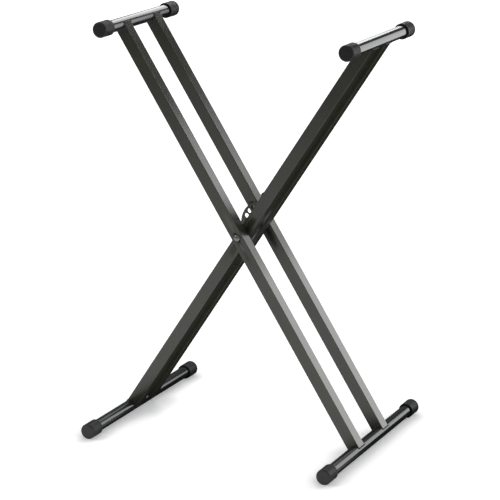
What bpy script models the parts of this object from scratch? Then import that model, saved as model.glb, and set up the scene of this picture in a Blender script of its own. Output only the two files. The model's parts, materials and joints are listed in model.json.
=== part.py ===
"""Folding keyboard stand: two tube frames crossed at a pivot and locked by a sprung pin in a half-round plate.

Metres, +Z up. X runs across the stand, Y along its cross bars towards the rear, and the floor is z = 0.
The outer frame runs from the top left bar to the bottom right one. The inner frame, which runs from the
top right bar to the bottom left one, turns between the outer legs about the pivot and carries the plate.
Each frame is drawn upright about the pivot, legs along local Z, and its parent empty leans it to one side.
"""
import math

import bmesh
import bpy
from mathutils import Matrix, Vector

# Clearance that neighbouring pieces keep, and the gap that a turning or sliding face needs
GAP = 0.0003

# Legs, square steel tube
LEG_REACH = 0.490               # pivot axis to the axis of each cross bar
LEG_TILT = math.radians(33)     # each leg from the vertical, as the stand is set up here
TUBE_SIDE = 0.0254
TUBE_WALL = 0.0015
TUBE_CORNER = 0.0008
CORNER_STEPS = 3
OUTER_LEG_SPACING = 0.121       # between the middles of the two outer legs
FRONT_SLOT = 0.0017             # between the front outer leg and the front inner leg
REAR_SLOT = 0.0018              # between the locking plate and the rear outer leg

# Cross bars, round steel tube, measured over their rubber caps
BAR_DIAMETER = 0.025
BAR_WALL = 0.0012
TOP_SPAN = 0.302
BOTTOM_SPAN = 0.450

# Rubber end caps
CAP_DIAMETER = 0.032            # across opposite flats, so that a flat lies on the floor
CAP_LENGTH = 0.035
CAP_END = 0.004
CAP_ROUNDING = 0.0016
CAP_MOUTH_CHAMFER = 0.0014
CAP_DIMPLE_DIAMETER = 0.005
CAP_DIMPLE_DEPTH = 0.0006

# Locking plate and the leg-to-leg angles at which its holes meet the pin
PLATE_RADIUS = 0.050
PLATE_THICKNESS = 0.003
PLATE_OVERHANG = 0.010          # how far the plate's straight edge lies past the leg's middle
HOLE_RING = 0.040               # pivot axis to the pin's axis
HOLE_DIAMETER = 0.010
LOCK_STEP = math.radians(18)
HIGHER_LOCKS = 2
LOWER_LOCKS = 2
FOLDED_ANGLE = math.radians(4)

# Pivot, one bolt on each side
BOLT_DIAMETER = 0.008
BOLT_HEAD_DIAMETER = 0.0145
BOLT_HEAD_HEIGHT = 0.0045
BOLT_END = 0.002                # how far a bolt reaches past its nut
BUSH_DIAMETER = 0.012
SPACER_DIAMETER = 0.022
WASHER_DIAMETER = 0.016
WASHER_THICKNESS = 0.0016
NUT_WIDTH = 0.013               # across flats
NUT_HEIGHT = 0.008

# Spring plunger on the rear outer leg
PIN_DIAMETER = 0.0094
PIN_ENGAGE = 0.0045             # travel from clear of the plate to fully home
PIN_PULL = 0.004                # travel from clear of the plate to fully drawn
STEM_DIAMETER = 0.006
COLLAR_DIAMETER = 0.013
COLLAR_LENGTH = 0.003
HOUSING_FLANGE_DIAMETER = 0.024
HOUSING_FLANGE_LENGTH = 0.0025
HOUSING_DIAMETER = 0.018
HOUSING_LID = 0.0025
SPRING_DIAMETER = 0.0098        # to the middle of the wire
SPRING_WIRE = 0.0012
SPRING_TURNS = 5
SPRING_SPARE = 0.0015           # left between closed turns and the fully drawn collar
KNOB_DIAMETER = 0.040
KNOB_LENGTH = 0.022
KNOB_LOBES = 8
KNOB_LOBE_DEPTH = 0.0016
KNOB_EDGE = 0.0025

# Facets
ROUND = 32
HOLE_ROUND = 24
COPE_ROUND = 48
PLATE_ROUND = 72
DOME_STEPS = 5
SPRING_TURN_POINTS = 12

# Places that follow from the sizes above
PIVOT_HEIGHT = CAP_DIAMETER / 2 + LEG_REACH * math.cos(LEG_TILT)
OUTER_MIDDLE = OUTER_LEG_SPACING / 2
OUTER_FACE = OUTER_MIDDLE + TUBE_SIDE / 2
OUTER_INSIDE = OUTER_MIDDLE - TUBE_SIDE / 2
INNER_FRONT_MIDDLE = -OUTER_INSIDE + FRONT_SLOT + TUBE_SIDE / 2
PLATE_BACK = OUTER_INSIDE - REAR_SLOT
PLATE_FRONT = PLATE_BACK - PLATE_THICKNESS
INNER_REAR_MIDDLE = PLATE_FRONT - GAP - TUBE_SIDE / 2
COLLAR_FRONT = OUTER_FACE + GAP + HOUSING_FLANGE_LENGTH + GAP + PIN_ENGAGE
COLLAR_BACK = COLLAR_FRONT + COLLAR_LENGTH
CLOSED_SPRING = (SPRING_TURNS + 1) * SPRING_WIRE
HOUSING_LID_FRONT = COLLAR_BACK + PIN_PULL + CLOSED_SPRING + SPRING_SPARE
HOUSING_BACK = HOUSING_LID_FRONT + HOUSING_LID
KNOB_FRONT = HOUSING_BACK + GAP + PIN_ENGAGE


def clear_scene():
    for obj in list(bpy.data.objects):
        bpy.data.objects.remove(obj, do_unlink=True)


def material(name, colour, roughness, metallic):
    made = bpy.data.materials.get(name) or bpy.data.materials.new(name)
    made.use_nodes = True
    shader = made.node_tree.nodes["Principled BSDF"]
    shader.inputs["Base Color"].default_value = (*colour, 1)
    shader.inputs["Roughness"].default_value = roughness
    shader.inputs["Metallic"].default_value = metallic
    made.diffuse_color = (*colour, 1)
    return made


def satin_black(node):
    return material(node, (0.055, 0.055, 0.050), 0.55, 0.0)


def gloss_black(node):
    return material(node, (0.060, 0.064, 0.064), 0.22, 0.3)


def rubber(node):
    return material(node, (0.035, 0.036, 0.036), 0.85, 0.0)


def zinc(node):
    return material(node, (0.55, 0.56, 0.57), 0.35, 1.0)


def blackened(node):
    return material(node, (0.045, 0.047, 0.048), 0.3, 0.8)


def nylon(node):
    return material(node, (0.03, 0.03, 0.03), 0.6, 0.0)


def empty(name, parent=None, place=(0, 0, 0), lean=0.0):
    made = bpy.data.objects.new(name, None)
    made.empty_display_size = 0.05
    bpy.context.collection.objects.link(made)
    made.parent = parent
    made.location = place
    made.rotation_euler.y = lean
    return made


def add(name, bm, parent, finish, place=(0, 0, 0)):
    """Turns a bmesh into a named, smooth-shaded object under its parent."""
    bmesh.ops.recalc_face_normals(bm, faces=bm.faces)
    mesh = bpy.data.meshes.new(name)
    bm.to_mesh(mesh)
    bm.free()
    mesh.shade_smooth()
    mesh.set_sharp_from_angle(angle=math.radians(35))
    made = bpy.data.objects.new(name, mesh)
    bpy.context.collection.objects.link(made)
    made.parent = parent
    made.location = place
    if finish:
        mesh.materials.append(finish(name))
    return made


def spun(profile, segments=ROUND, ring=False, flats=False):
    """A bmesh turned about local Y from (radius, y) points; ring closes the profile, flats sizes it to them."""
    widen = 1 / math.cos(math.pi / segments) if flats else 1
    half_facet = Matrix.Rotation(math.pi / segments, 3, "Y")
    bm = bmesh.new()
    points = [bm.verts.new(half_facet @ Vector((r * widen, y, 0))) for r, y in profile]
    ends = points[1:] + points[:1] if ring else points[1:]
    edges = [bm.edges.new(pair) for pair in zip(points, ends)]
    bmesh.ops.spin(bm, geom=points + edges, cent=(0, 0, 0), axis=(0, 1, 0), angle=math.tau,
                   steps=segments, use_merge=True)
    bmesh.ops.remove_doubles(bm, verts=bm.verts, dist=1e-6)
    bmesh.ops.dissolve_degenerate(bm, edges=bm.edges, dist=1e-7)
    return bm


def pipe(outer, inner, start, end):
    """Profile of a plain pipe between two places on Y."""
    return [(outer / 2, start), (outer / 2, end), (inner / 2, end), (inner / 2, start)]


def rod(diameter, start, end):
    """Profile of a plain rod between two places on Y."""
    return [(0, start), (diameter / 2, start), (diameter / 2, end), (0, end)]


def drill(target, label, diameter, start, end, x=0.0, z=0.0, segments=HOLE_ROUND):
    """Drills a round hole along Y through the target, at (x, z) in its parent's frame."""
    tool = add(f"{target.name}_{label}", spun(rod(diameter, start, end), segments), target.parent, None, (x, 0, z))
    tool.hide_render = True
    tool.display_type = "WIRE"
    cut = target.modifiers.new(tool.name, "BOOLEAN")
    cut.operation = "DIFFERENCE"
    cut.solver = "EXACT"
    cut.object = tool


def rounded_square(side, corner):
    """Corner points of a square with rounded corners, anticlockwise."""
    points = []
    for quarter in range(4):
        turn = quarter * math.pi / 2
        for step in range(CORNER_STEPS + 1):
            angle = turn + step * math.pi / 2 / CORNER_STEPS
            middle = side / 2 - corner
            x = middle * (math.cos(turn) - math.sin(turn)) + corner * math.cos(angle)
            y = middle * (math.sin(turn) + math.cos(turn)) + corner * math.sin(angle)
            points.append((x, y))
    return points


def square_tube(length):
    """A bmesh of hollow square tube along local Z, centred on its middle."""
    bm = bmesh.new()
    outer = rounded_square(TUBE_SIDE, TUBE_CORNER)
    inner = rounded_square(TUBE_SIDE - 2 * TUBE_WALL, max(TUBE_CORNER - TUBE_WALL, TUBE_WALL / 3))
    rings = [[bm.verts.new((x, y, z)) for x, y in loop]
             for loop, z in ((outer, length / 2), (outer, -length / 2), (inner, -length / 2), (inner, length / 2))]
    count = len(outer)
    for ring, following in zip(rings, rings[1:] + rings[:1]):
        for i in range(count):
            j = (i + 1) % count
            bm.faces.new((ring[i], ring[j], following[j], following[i]))
    return bm


def leg(name, frame, middle):
    """One leg: square tube saddled onto the bars at both ends, with its pivot hole still to be drilled."""
    made = add(name, square_tube(2 * LEG_REACH), frame, satin_black, (0, middle, 0))
    for label, side in (("top_saddle", 1), ("bottom_saddle", -1)):
        drill_leg(made, label, BAR_DIAMETER + 2 * GAP, middle, side * LEG_REACH, COPE_ROUND)
    return made


def drill_leg(target, label, diameter, middle, z=0.0, segments=HOLE_ROUND):
    """Drills right through both walls of a leg."""
    drill(target, label, diameter, middle - TUBE_SIDE, middle + TUBE_SIDE, z=z, segments=segments)


def cap_profile():
    """A rubber cap from the middle of its closed end, round its outside and mouth, to the bottom of its bore."""
    radius = CAP_DIAMETER / 2
    bore = BAR_DIAMETER / 2 + GAP
    dimple = CAP_DIMPLE_DIAMETER / 2
    corner = [(radius - CAP_ROUNDING * (1 - math.sin(a)), CAP_ROUNDING * (1 - math.cos(a)))
              for a in (0, math.pi / 4, math.pi / 2)]
    lip = [(radius, CAP_LENGTH - CAP_ROUNDING / 2), (radius - CAP_ROUNDING / 2, CAP_LENGTH)]
    mouth = [(bore + CAP_MOUTH_CHAMFER, CAP_LENGTH), (bore, CAP_LENGTH - CAP_MOUTH_CHAMFER)]
    middle = [(0, CAP_DIMPLE_DEPTH), (dimple - CAP_DIMPLE_DEPTH, CAP_DIMPLE_DEPTH), (dimple, 0)]
    return middle + corner + lip + mouth + [(bore, CAP_END), (0, CAP_END)]


def cross_bar(frame, prefix, height, span, upright):
    """A round bar with a rubber cap pressed on each end; upright turns the caps' flats to the floor."""
    tube_half = span / 2 - CAP_END - GAP
    bar = spun(pipe(BAR_DIAMETER, BAR_DIAMETER - 2 * BAR_WALL, -tube_half, tube_half), ring=True)
    add(f"{prefix}_bar", bar, frame, gloss_black, (0, 0, height))
    for end, turn in (("front", 0), ("rear", math.pi)):
        cap = add(f"{prefix}_cap_{end}", spun(cap_profile(), flats=True), frame, rubber)
        place = Matrix.Translation((0, 0, height)) @ Matrix.Rotation(upright, 4, "Y") @ Matrix.Rotation(turn, 4, "Z")
        cap.matrix_local = place @ Matrix.Translation((0, -span / 2, 0))


def frame_bars(frame, prefix, upright):
    cross_bar(frame, f"{prefix}_top", LEG_REACH, TOP_SPAN, upright)
    cross_bar(frame, f"{prefix}_bottom", -LEG_REACH, BOTTOM_SPAN, upright)


def ring_place(angle):
    """Where the hole for a leg-to-leg angle lies in the inner frame, as (x, z)."""
    return -HOLE_RING * math.sin(angle), HOLE_RING * math.cos(angle)


def lock_angles():
    rest = 2 * LEG_TILT
    return [rest + step * LOCK_STEP for step in range(-HIGHER_LOCKS, LOWER_LOCKS + 1)]


def locking_plate(frame):
    """The half-round plate on the rear inner leg: a disc cut straight behind the leg, with its ring of holes."""
    past_half = math.asin(PLATE_OVERHANG / PLATE_RADIUS)
    bm = bmesh.new()
    outline = []
    for step in range(PLATE_ROUND // 2 + 1):
        angle = -past_half + step * (math.pi + 2 * past_half) / (PLATE_ROUND // 2)
        outline.append(bm.verts.new((-PLATE_RADIUS * math.sin(angle), PLATE_FRONT, PLATE_RADIUS * math.cos(angle))))
    face = bm.faces.new(outline)
    grown = bmesh.ops.extrude_face_region(bm, geom=[face])
    moved = [item for item in grown["geom"] if isinstance(item, bmesh.types.BMVert)]
    bmesh.ops.translate(bm, verts=moved, vec=(0, PLATE_THICKNESS, 0))
    plate = add("locking_plate", bm, frame, satin_black)
    over = PLATE_THICKNESS
    drill(plate, "pivot_hole", BOLT_DIAMETER + 2 * GAP, PLATE_FRONT - over, PLATE_BACK + over)
    for number, angle in enumerate([FOLDED_ANGLE] + lock_angles()):
        x, z = ring_place(angle)
        drill(plate, f"lock_hole_{number}", HOLE_DIAMETER, PLATE_FRONT - over, PLATE_BACK + over, x, z)


def dome(radius, height, seat):
    """Profile of a low dome standing on a face at seat and rising towards -Y, from its top to its rim."""
    return [(radius * math.sin(a), seat - height * math.cos(a))
            for a in (step * math.pi / 2 / DOME_STEPS for step in range(DOME_STEPS + 1))]


def pivot_side(outer, inner, end, inner_leg, slot):
    """The bolt, spacer, bush, washer and nut of one side, drawn as at the front; slot is the free slot's Y range."""
    turn = empty(f"pivot_{end}", outer)
    if end == "rear":
        turn.rotation_euler.z = math.pi
    head_seat = -OUTER_FACE - GAP
    leg_inside = -(abs(inner_leg) - TUBE_SIDE / 2)
    washer_start = leg_inside + GAP
    nut_start = washer_start + WASHER_THICKNESS + GAP
    bolt_end = nut_start + NUT_HEIGHT + BOLT_END
    shank = BOLT_DIAMETER / 2
    tip = BOLT_DIAMETER / 8
    bolt = dome(BOLT_HEAD_DIAMETER / 2, BOLT_HEAD_HEIGHT, head_seat)
    bolt += [(shank, head_seat), (shank, bolt_end - tip), (shank - tip, bolt_end), (0, bolt_end)]
    add(f"pivot_bolt_{end}", spun(bolt), turn, blackened)
    bore = BOLT_DIAMETER + 2 * GAP
    spacer = spun(pipe(SPACER_DIAMETER, bore, slot[0] + GAP, slot[1] - GAP), ring=True, flats=True)
    add(f"pivot_spacer_{end}", spacer, turn, nylon)
    washer = spun(pipe(WASHER_DIAMETER, bore, washer_start, washer_start + WASHER_THICKNESS), ring=True, flats=True)
    add(f"pivot_washer_{end}", washer, turn, zinc)
    nut = add(f"pivot_nut_{end}", spun(rod(NUT_WIDTH, nut_start, nut_start + NUT_HEIGHT), 6, flats=True), turn, zinc)
    drill(nut, "thread", bore, nut_start - NUT_HEIGHT, nut_start + 2 * NUT_HEIGHT)
    bush = spun(pipe(BUSH_DIAMETER, bore, inner_leg - TUBE_SIDE / 2, inner_leg + TUBE_SIDE / 2), ring=True, flats=True)
    add(f"pivot_bush_{end}", bush, inner, nylon)


def plunger_housing(frame):
    """The flanged barrel on the rear outer leg that guides the pin's collar and holds its spring."""
    start = OUTER_FACE + GAP
    step = start + HOUSING_FLANGE_LENGTH
    bore = COLLAR_DIAMETER / 2 + GAP
    guide = PIN_DIAMETER / 2 + GAP
    lid = STEM_DIAMETER / 2 + GAP
    profile = [(HOUSING_FLANGE_DIAMETER / 2, start), (HOUSING_FLANGE_DIAMETER / 2, step),
               (HOUSING_DIAMETER / 2, step), (HOUSING_DIAMETER / 2, HOUSING_BACK), (lid, HOUSING_BACK),
               (lid, HOUSING_LID_FRONT), (bore, HOUSING_LID_FRONT), (bore, step), (guide, step), (guide, start)]
    add("plunger_housing", spun(profile, ring=True, flats=True), frame, zinc, (0, 0, HOLE_RING))


def locking_pin(carrier):
    """The stepped pin: its nose points at the plate, and its collar takes the spring."""
    nose = PLATE_BACK + GAP
    chamfer = PIN_DIAMETER / 10
    radius = PIN_DIAMETER / 2
    stem = STEM_DIAMETER / 2
    profile = [(0, nose), (radius - chamfer, nose), (radius, nose + chamfer), (radius, COLLAR_FRONT),
               (COLLAR_DIAMETER / 2, COLLAR_FRONT), (COLLAR_DIAMETER / 2, COLLAR_BACK), (stem, COLLAR_BACK),
               (stem, KNOB_FRONT + KNOB_LENGTH / 2), (0, KNOB_FRONT + KNOB_LENGTH / 2)]
    add("locking_pin", spun(profile, HOLE_ROUND), carrier, zinc)


def pull_knob(carrier):
    """A lobed knob with rounded ends, bored for the stem."""
    profile = [(0, KNOB_FRONT), (KNOB_DIAMETER / 2 - KNOB_EDGE, KNOB_FRONT),
               (KNOB_DIAMETER / 2, KNOB_FRONT + KNOB_EDGE),
               (KNOB_DIAMETER / 2, KNOB_FRONT + KNOB_LENGTH - KNOB_EDGE),
               (KNOB_DIAMETER / 2 - KNOB_EDGE, KNOB_FRONT + KNOB_LENGTH), (0, KNOB_FRONT + KNOB_LENGTH)]
    bm = spun(profile, 6 * KNOB_LOBES)
    for vert in bm.verts:
        angle = math.atan2(vert.co.z, vert.co.x)
        share = 1 - KNOB_LOBE_DEPTH * (1 + math.cos(KNOB_LOBES * angle)) / KNOB_DIAMETER
        vert.co.x *= share
        vert.co.z *= share
    knob = add("pull_knob", bm, carrier, nylon)
    drill(knob, "stem_bore", STEM_DIAMETER + 2 * GAP, KNOB_FRONT - GAP, KNOB_FRONT + KNOB_LENGTH / 2 + GAP)


def plunger_spring(frame):
    """A compression spring between the collar and the housing's lid, as a wire swept along a helix."""
    start = COLLAR_BACK + GAP + SPRING_WIRE / 2
    end = HOUSING_LID_FRONT - GAP - SPRING_WIRE / 2
    count = SPRING_TURNS * SPRING_TURN_POINTS
    curve = bpy.data.curves.new("plunger_spring", "CURVE")
    curve.dimensions = "3D"
    curve.bevel_depth = SPRING_WIRE / 2
    curve.bevel_resolution = 1
    curve.use_fill_caps = True
    spline = curve.splines.new("POLY")
    spline.points.add(count)
    for index, point in enumerate(spline.points):
        angle = math.tau * index / SPRING_TURN_POINTS
        y = start + (end - start) * index / count
        point.co = (SPRING_DIAMETER / 2 * math.cos(angle), y, SPRING_DIAMETER / 2 * math.sin(angle), 1)
    curve.materials.append(zinc("plunger_spring"))
    made = bpy.data.objects.new("plunger_spring", curve)
    bpy.context.collection.objects.link(made)
    made.parent = frame
    made.location.z = HOLE_RING


def outer_frame():
    frame = empty("outer_frame", place=(0, 0, PIVOT_HEIGHT), lean=-LEG_TILT)
    pivot_hole = BOLT_DIAMETER + 2 * GAP
    front = leg("outer_leg_front", frame, -OUTER_MIDDLE)
    drill_leg(front, "pivot_hole", pivot_hole, -OUTER_MIDDLE)
    rear = leg("outer_leg_rear", frame, OUTER_MIDDLE)
    drill_leg(rear, "pivot_hole", pivot_hole, OUTER_MIDDLE)
    drill_leg(rear, "pin_hole", PIN_DIAMETER + 2 * GAP, OUTER_MIDDLE, z=HOLE_RING)
    frame_bars(frame, "outer", LEG_TILT)
    plunger_housing(frame)
    plunger_spring(frame)
    carrier = empty("plunger", frame, (0, 0, HOLE_RING))
    locking_pin(carrier)
    pull_knob(carrier)
    return frame


def inner_frame():
    frame = empty("inner_frame", place=(0, 0, PIVOT_HEIGHT), lean=LEG_TILT)
    pivot_hole = BUSH_DIAMETER + 2 * GAP
    front = leg("inner_leg_front", frame, INNER_FRONT_MIDDLE)
    drill_leg(front, "pivot_hole", pivot_hole, INNER_FRONT_MIDDLE)
    rear = leg("inner_leg_rear", frame, INNER_REAR_MIDDLE)
    drill_leg(rear, "pivot_hole", pivot_hole, INNER_REAR_MIDDLE)
    x, z = ring_place(FOLDED_ANGLE)
    wall_back = INNER_REAR_MIDDLE + TUBE_SIDE / 2
    drill(rear, "folded_lock_hole", HOLE_DIAMETER, wall_back - 2 * TUBE_WALL, wall_back + TUBE_WALL, x, z)
    frame_bars(frame, "inner", -LEG_TILT)
    locking_plate(frame)
    return frame


def build():
    clear_scene()
    outer = outer_frame()
    inner = inner_frame()
    pivot_side(outer, inner, "front", INNER_FRONT_MIDDLE, (-OUTER_INSIDE, -OUTER_INSIDE + FRONT_SLOT))
    pivot_side(outer, inner, "rear", INNER_REAR_MIDDLE, (-OUTER_INSIDE, -PLATE_BACK))


build()
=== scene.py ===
"""Looks of the folding keyboard stand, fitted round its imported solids.

Metres, +Z up. Each tube frame is drawn upright about the pivot, legs along local Z and bars
along Y, and is then leaned to its side. Every finished piece keeps its place in its mesh.
"""
import json
import math

import bmesh
import bpy
from mathutils import Matrix, Vector

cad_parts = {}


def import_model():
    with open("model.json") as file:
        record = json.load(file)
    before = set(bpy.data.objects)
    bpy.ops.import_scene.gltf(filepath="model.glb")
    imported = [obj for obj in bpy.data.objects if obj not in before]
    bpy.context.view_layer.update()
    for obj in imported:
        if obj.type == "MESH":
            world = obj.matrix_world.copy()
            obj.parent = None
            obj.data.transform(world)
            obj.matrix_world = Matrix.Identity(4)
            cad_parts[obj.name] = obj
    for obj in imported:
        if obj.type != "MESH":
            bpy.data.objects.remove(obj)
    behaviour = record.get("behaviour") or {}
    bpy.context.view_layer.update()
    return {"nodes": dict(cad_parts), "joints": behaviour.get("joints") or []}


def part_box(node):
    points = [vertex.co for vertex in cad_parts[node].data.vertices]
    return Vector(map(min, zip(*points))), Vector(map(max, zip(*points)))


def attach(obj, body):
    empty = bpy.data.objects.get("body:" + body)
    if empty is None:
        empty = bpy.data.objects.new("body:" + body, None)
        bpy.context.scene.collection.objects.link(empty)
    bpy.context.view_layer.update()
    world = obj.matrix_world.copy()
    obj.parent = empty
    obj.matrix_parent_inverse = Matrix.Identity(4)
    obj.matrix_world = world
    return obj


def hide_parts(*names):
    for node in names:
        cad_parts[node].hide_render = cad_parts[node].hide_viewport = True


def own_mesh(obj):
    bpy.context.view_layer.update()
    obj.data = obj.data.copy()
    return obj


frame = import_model()

# Legs and bars
LEG_REACH = 0.490               # from the pivot to a bar's axis
LEG_TILT = math.radians(33)
LEG_STATIONS = (-1, -0.93, -0.5, -0.12, 0.12, 0.5, 0.93, 1)     # shares of LEG_REACH
TUBE_SIDE = 0.0254
TUBE_WALL = 0.0015
TUBE_CORNER = 0.0008
BAR_DIAMETER = 0.025
BAR_WALL = 0.0012
BAR_EDGE = 0.0003               # rounding of a bar's cut ends
TOP_SPAN = 0.302
BOTTOM_SPAN = 0.450
FIT = 0.0003                    # clearance between neighbouring pieces

SIDES = (("outer_frame", "outer"), ("inner_frame", "inner"))
LEVELS = (("top", LEG_REACH, TOP_SPAN), ("bottom", -LEG_REACH, BOTTOM_SPAN))

# Rubber caps
CAP_DIAMETER = 0.03199          # a hair under the solid cap's, to stay inside its box
CAP_LENGTH = 0.035
CAP_END = 0.004
CAP_ROUNDING = 0.0026
CAP_LIP = 0.0008                # chamfer outside the mouth
CAP_LEAD_IN = 0.0014            # chamfer inside the mouth
CAP_DIMPLE = 0.005
CAP_DIMPLE_DEPTH = 0.0006
CAP_FACE_DEPTH = 0.0007         # what lies this near the closed end counts as its face
GRIP_DEPTH = 0.0005             # how far the grip band lies below the cap's plain ends
GRIP_START = 0.0035
GRIP_ROWS = 12
GRIP_AROUND = 42
PIP_SHARE = 0.9                 # a pip's width as a share of the step round the cap

# Locking plate
PLATE_RADIUS = 0.050
PLATE_OVERHANG = 0.010
PLATE_EDGE = 0.00025            # how much its edges are broken
HOLE_RING = 0.040
HOLE_DIAMETER = 0.010
LOCK_STEP = math.radians(18)
HIGHER_LOCKS = 2
LOWER_LOCKS = 2
FOLDED_ANGLE = math.radians(4)
LOCK_ANGLES = [FOLDED_ANGLE] + [2 * LEG_TILT + step * LOCK_STEP
                                for step in range(-HIGHER_LOCKS, LOWER_LOCKS + 1)]

# Pivot
BOLT_DIAMETER = 0.008
BOLT_HEAD_DIAMETER = 0.0145
BOLT_CHAMFER = 0.0008           # at the tip, and the height of the head's rim
THREAD_PITCH = 0.00125
THREAD_DEPTH = 0.00035
THREAD_LENGTH = 0.014
THREAD_RUNOUT = 0.002
BUSH_DIAMETER = 0.012
WASHER_DIAMETER = 0.016
WASHER_EDGE = 0.0004
NUT_WIDTH = 0.013
NUT_EDGE = 0.0005
NUT_COLLAR_HEIGHT = 0.0024
NUT_COLLAR_EDGE = 0.0009
NUT_COLLAR_INSET = 0.0008       # how much narrower the collar is than the hexagon
NUT_COLLAR_PLAY = 0.0002        # and how much wider its bore is

# Plunger
PIN_DIAMETER = 0.0094
PIN_NOSE = 0.0009               # chamfer of the pin's nose
PIN_DROP = 0.0045               # how far the pin can go on into a hole
PIN_EDGE = 0.0003
STEM_DIAMETER = 0.006
PIN_COLLAR_DIAMETER = 0.013
PIN_COLLAR_LENGTH = 0.003
HOUSING_FLANGE_DIAMETER = 0.024
HOUSING_FLANGE_LENGTH = 0.0025
HOUSING_DIAMETER = 0.018
HOUSING_LID = 0.0025
HOUSING_EDGE = 0.0005
GROOVE_BEFORE_LID = 0.002
GROOVE_DEPTH = 0.0004
GROOVE_WIDTH = 0.0014
SPRING_DIAMETER = 0.0098
SPRING_WIRE = 0.0012
SPRING_TURNS = 5
KNOB_DIAMETER = 0.040
KNOB_ROUNDING = 0.0028
KNOB_LOBES = 8
KNOB_LOBE_DEPTH = 0.0016
KNOB_NECK = ((0.62, 0), (0.74, 0.0035), (1, 0.0080))    # share of the radius, place from its front
KNOB_FACE = ((1, 0.0032), (0.86, 0), (0.45, 0), (0.36, 0.0010), (0, 0.0010))    # and from its back

# Weld beads
BEAD_RADIUS = 0.0012
BEAD_OUT = 0.0003               # how far a bead's path lies outside the leg
BEAD_UNDER = 0.985              # share of the bar's radius that it reaches down to
BEAD_SIDE = 0.35                # how full a bead is beside a leg
BEAD_FRONT = 1.9                # and across its front and rear faces
BEAD_TURN = 8                   # how late it fills up on its way round a corner
BEAD_PITCH = 0.0018
BEAD_RIPPLE = 0.16
BEAD_DRIFT = 0.6                # how much its size wanders
BEAD_STEPS = 6                  # points of its path for each ripple
BEAD_AROUND = 10
BEAD_SEEDS = {"outer": 3.0, "inner": 11.0}
PLATE_WELDS = ((-0.036, -0.020), (0.020, 0.036))        # up and down the leg from the pivot
EDGE_BEAD_IN = 0.0002           # the bead beside the leg's edge: how far in from the edge
EDGE_BEAD_BEFORE = 0.0005       # and how far before the plate
PLATE_BEAD_OUT = 0.0004         # the bead along the plate's straight edge: how far past it

# How finely round shapes are divided
KNOB_SEGMENTS = 192
BAR_SEGMENTS = 128
ROUND_SEGMENTS = 96
SMALL_SEGMENTS = 64
HOLE_SEGMENTS = 48
COIL_SEGMENTS = 40
HEXAGON = 6
CUTTER_TURN = 0.02              # keeps a cutter's points off the edges of what it cuts
ON_AXIS = 1e-6                  # a radius smaller than this is none

PIVOT = Vector(next(joint["pos_m"] for joint in frame["joints"] if joint["name"] == "fold"))
FOOT_REACH = LEG_REACH * math.sin(LEG_TILT)
LEAN = {"outer_frame": -LEG_TILT, "inner_frame": LEG_TILT, "plunger": -LEG_TILT}


def middle(node):
    """Where a node's middle lies along the bars."""
    low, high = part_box(node)
    return (low.y + high.y) / 2


def ends(node):
    """A node's front and rear places along the bars."""
    low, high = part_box(node)
    return low.y, high.y


def linked(name, data):
    """A new object in the scene."""
    made = bpy.data.objects.new(name, data)
    bpy.context.collection.objects.link(made)
    return made


def mesh_from(name, bm):
    """A mesh that takes over what a bmesh holds."""
    mesh = bpy.data.meshes.new(name)
    bm.to_mesh(mesh)
    bm.free()
    return mesh


# Node trees

class Wire:
    """One socket of a node tree.

    Sums and products of wires add their Math nodes, and add makes any other node.
    """

    def __init__(self, tree, socket=None):
        self.tree = tree
        self.socket = socket

    def add(self, kind, settings=None, inputs=None, out=0):
        """Makes a node: its settings first, then the values or wires of its input sockets."""
        node = self.tree.nodes.new(kind)
        for key, value in (settings or {}).items():
            setattr(node, key, value)
        for key, value in (inputs or {}).items():
            for part in value if isinstance(value, list) else [value]:
                if isinstance(part, Wire):
                    self.tree.links.new(part.socket, node.inputs[key])
                else:
                    node.inputs[key].default_value = part
        return Wire(self.tree, node.outputs[out] if node.outputs else None)

    def math(self, operation, *values):
        """A Math node of these values; this wire is among them only where it is named."""
        return self.add("ShaderNodeMath", {"operation": operation}, dict(enumerate(values)))

    def __add__(self, other):
        return self.math("ADD", self, other)

    def __radd__(self, other):
        return self.math("ADD", other, self)

    def __sub__(self, other):
        return self.math("SUBTRACT", self, other)

    def __rsub__(self, other):
        return self.math("SUBTRACT", other, self)

    def __mul__(self, other):
        return self.math("MULTIPLY", self, other)

    def __truediv__(self, other):
        return self.math("DIVIDE", self, other)

    def __mod__(self, other):
        return self.math("MODULO", self, other)

    def clipped(self, low, high):
        """0 below low, 1 above high, and a smooth rise between."""
        return self.add("ShaderNodeMapRange", {"interpolation_type": "SMOOTHSTEP"},
                        {"Value": self, "From Min": low, "From Max": high})

    def noise(self, scale, detail=2.0, roughness=0.5):
        """Noise at this place."""
        return self.add("ShaderNodeTexNoise", inputs={
            "Vector": self, "Scale": scale, "Detail": detail, "Roughness": roughness})

    def blend(self, first, second):
        """A colour between two, by this wire."""
        return self.add("ShaderNodeMix", {"data_type": "RGBA"},
                        {0: self, 6: first, 7: second}, 2)

    def mapped(self, scale, offset=(0, 0, 0)):
        """This place after a scale and an offset."""
        return self.add("ShaderNodeMapping", {"vector_type": "POINT"},
                        {"Vector": self, "Location": offset, "Scale": scale})

    def length(self):
        """How long this vector is."""
        return self.add("ShaderNodeVectorMath", {"operation": "LENGTH"}, {0: self}, "Value")

    def component(self, axis):
        """This vector's share along X, Y or Z."""
        return self.add("ShaderNodeSeparateXYZ", inputs={"Vector": self}, out=axis)

    def bump(self, strength, distance):
        """A normal, from this wire as a height."""
        return self.add("ShaderNodeBump", inputs={
            "Height": self, "Strength": strength, "Distance": distance})


def shade(red, green, blue):
    """An opaque colour."""
    return red, green, blue, 1.0


def emptied(made):
    """Empties a material's or a world's node tree and gives a wire to start from."""
    made.use_nodes = True
    made.node_tree.nodes.clear()
    return Wire(made.node_tree)


def new_finish(name):
    """An empty material and the wire of its object coordinates."""
    made = bpy.data.materials.new(name)
    return made, emptied(made).add("ShaderNodeTexCoord", out="Object")


def coat_surface(place, sockets):
    """Ends a material's tree in a Principled surface."""
    shader = place.add("ShaderNodeBsdfPrincipled", inputs=sockets)
    place.add("ShaderNodeOutputMaterial", inputs={"Surface": shader})


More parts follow.
